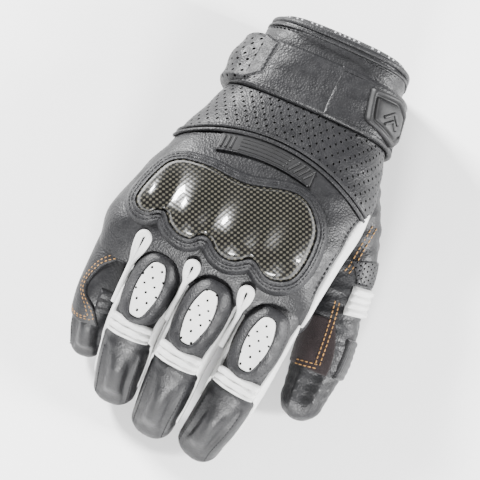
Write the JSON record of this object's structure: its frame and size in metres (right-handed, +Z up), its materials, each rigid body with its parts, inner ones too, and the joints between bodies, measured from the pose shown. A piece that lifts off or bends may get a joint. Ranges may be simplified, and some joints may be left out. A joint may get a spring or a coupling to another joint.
{
  "type": "riding glove",
  "caption": "Short-cuff armoured leather riding glove for the right hand: moulded knuckle guard, padded fingers, stretch panels and a wrist strap.",
  "frame": {"origin": "centre of the bounding box in plan, at the base that the glove rests on", "axes": "+Z up out of the back of the hand, -Y along the fingers, +Y out of the cuff, thumb at +X"},
  "size_m": [0.134, 0.2082, 0.0738],
  "materials": {
    "black_leather": "grained, soft sheen",
    "white_leather": "smooth, satin",
    "carbon_guard": "clear-coated twill weave",
    "moulded_rubber": "matt moulded",
    "knit_and_hook": "knitted, matt",
    "foam": "matt foam"
  },
  "bodies": {
    "index_proximal": {"index_gusset_outer": "white_leather", "index_gusset_inner": "white_leather", "index_pad_foam": "foam", "index_pad_panel": "black_leather", "index_pad_insert": "white_leather", "index_accordion": "white_leather", "index_shell": "black_leather"},
    "index_tip": {"index_tip_shell": "black_leather"},
    "middle_proximal": {"middle_gusset_outer": "white_leather", "middle_gusset_inner": "white_leather", "middle_pad_foam": "foam", "middle_pad_panel": "black_leather", "middle_pad_insert": "white_leather", "middle_accordion": "white_leather", "middle_shell": "black_leather"},
    "middle_tip": {"middle_tip_shell": "black_leather"},
    "ring_proximal": {"ring_gusset_outer": "white_leather", "ring_gusset_inner": "white_leather", "ring_pad_foam": "foam", "ring_pad_panel": "black_leather", "ring_pad_insert": "white_leather", "ring_accordion": "white_leather", "ring_shell": "black_leather"},
    "ring_tip": {"ring_tip_shell": "black_leather"},
    "pinky_proximal": {"pinky_gusset_inner": "white_leather", "pinky_slider": "moulded_rubber", "pinky_shell": "black_leather"},
    "pinky_tip": {"pinky_tip_shell": "black_leather"},
    "thumb_base": {"thumb_base_shell": "black_leather", "thumb_vent_panel": "black_leather", "thumb_accordion": "white_leather"},
    "thumb_tip": {"thumb_tip_shell": "black_leather", "thumb_patch": "black_leather", "thumb_stretch_panel": "knit_and_hook"},
    "hand": {"back_panel": "black_leather", "palm_panel": "black_leather", "heel_pad": "black_leather", "knuckle_guard": "carbon_guard", "knuckle_foam": "foam", "guard_trim": "black_leather", "wrist_band": "black_leather", "ridge_piping": "black_leather", "crest_patch": "moulded_rubber", "side_stripe": "white_leather", "cuff_shell": "black_leather", "cuff_binding": "black_leather", "loop_patch": "knit_and_hook", "strap_band": "black_leather", "strap_keeper": "black_leather"},
    "strap_flap": {"strap_flap_panel": "black_leather", "hook_patch": "knit_and_hook", "pull_tab": "moulded_rubber", "tab_emblem": "moulded_rubber"}
  },
  "joints": [
    {"name": "index_knuckle", "type": "hinge", "parent": "hand", "child": "index_proximal", "pos_m": [0.0264, -0.01394, 0.046], "axis": [1, 0, 0], "range_deg": [-10, 40]},
    {"name": "index_bend", "type": "hinge", "parent": "index_proximal", "child": "index_tip", "pos_m": [0.0224, -0.06394, 0.0405], "axis": [1, 0, 0], "range_deg": [-25, 38], "deforming": ["index_accordion"]},
    {"name": "middle_knuckle", "type": "hinge", "parent": "hand", "child": "middle_proximal", "pos_m": [-0.0031, -0.01394, 0.0495], "axis": [1, 0, 0], "range_deg": [-10, 40]},
    {"name": "middle_bend", "type": "hinge", "parent": "middle_proximal", "child": "middle_tip", "pos_m": [-0.0071, -0.06344, 0.0425], "axis": [1, 0, 0], "range_deg": [-25, 38], "deforming": ["middle_accordion"]},
    {"name": "ring_knuckle", "type": "hinge", "parent": "hand", "child": "ring_proximal", "pos_m": [-0.0316, -0.01394, 0.0475], "axis": [1, 0, 0], "range_deg": [-10, 40]},
    {"name": "ring_bend", "type": "hinge", "parent": "ring_proximal", "child": "ring_tip", "pos_m": [-0.0336, -0.05994, 0.0405], "axis": [1, 0, 0], "range_deg": [-25, 38], "deforming": ["ring_accordion"]},
    {"name": "pinky_knuckle", "type": "hinge", "parent": "hand", "child": "pinky_proximal", "pos_m": [-0.0548, -0.01394, 0.041], "axis": [1, 0, 0], "range_deg": [-10, 40]},
    {"name": "pinky_bend", "type": "hinge", "parent": "pinky_proximal", "child": "pinky_tip", "pos_m": [-0.056, -0.05194, 0.0325], "axis": [1, 0, 0], "range_deg": [-25, 38]},
    {"name": "thumb_swing", "type": "hinge", "parent": "hand", "child": "thumb_base", "pos_m": [0.0384, 0.03406, 0.026], "axis": [0, 0, 1], "range_deg": [0, 22]},
    {"name": "thumb_bend", "type": "hinge", "parent": "thumb_base", "child": "thumb_tip", "pos_m": [0.0489, -0.00594, 0.02], "axis": [0, 0, 1], "range_deg": [-15, 12], "deforming": ["thumb_accordion"]},
    {"name": "strap_peel", "type": "hinge", "parent": "hand", "child": "strap_flap", "pos_m": [0.0074, 0.07606, 0.05935], "axis": [0, -1, 0], "range_deg": [0, 60]}
  ]
}
